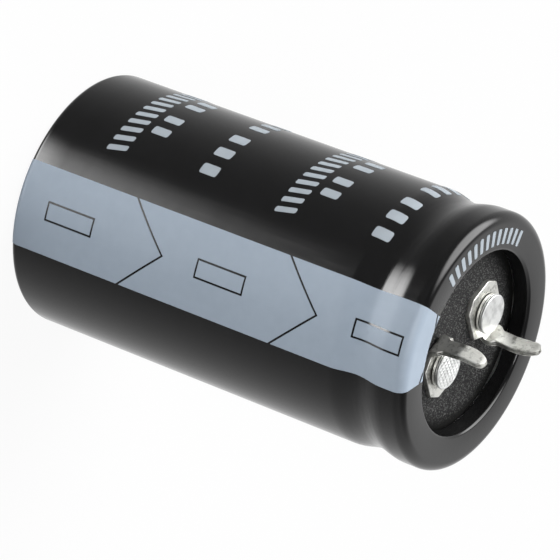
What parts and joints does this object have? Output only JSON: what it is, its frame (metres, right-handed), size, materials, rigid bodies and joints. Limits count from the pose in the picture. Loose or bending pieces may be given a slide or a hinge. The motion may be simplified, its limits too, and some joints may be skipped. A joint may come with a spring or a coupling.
{
  "type": "electrolytic_capacitor",
  "caption": "Snap-in electrolytic capacitor: aluminium can in a black shrink sleeve, rolled groove and rim, rubber-faced seal, riveted solder pins and a polarity stripe.",
  "frame": {"origin": "centre of the closed end, on which the part stands, at the bottom centre of the bounding box", "axes": "+Z along the body from the closed end to the terminals; +X from the axis towards the negative pin, so both pins lie on the X axis; +Y by the right-hand rule"},
  "size_m": [0.0254, 0.0254, 0.0491],
  "materials": {
    "sleeve_black": "glossy shrink film",
    "ink_blue_grey": "printed ink",
    "ink_pale": "printed ink",
    "aluminium": "drawn",
    "tinned_steel": "tin-plated and stamped",
    "rubber_black": "matt, finely speckled",
    "phenolic_board": "pressed laminate",
    "foil_and_paper": "soaked roll",
    "tape": "adhesive tape"
  },
  "bodies": {
    "root": {"sleeve": "sleeve_black", "negative_stripe": "ink_blue_grey", "label_marks": "ink_pale", "can": "aluminium", "seal_rubber": "rubber_black", "seal_board": "phenolic_board", "terminal_negative": "tinned_steel", "terminal_positive": "tinned_steel", "washer_negative": "tinned_steel", "washer_positive": "tinned_steel", "rivet_negative": "aluminium", "rivet_positive": "aluminium", "tab_negative": "aluminium", "tab_positive": "aluminium", "winding": "foil_and_paper", "winding_tape": "tape"}
  },
  "joints": []
}
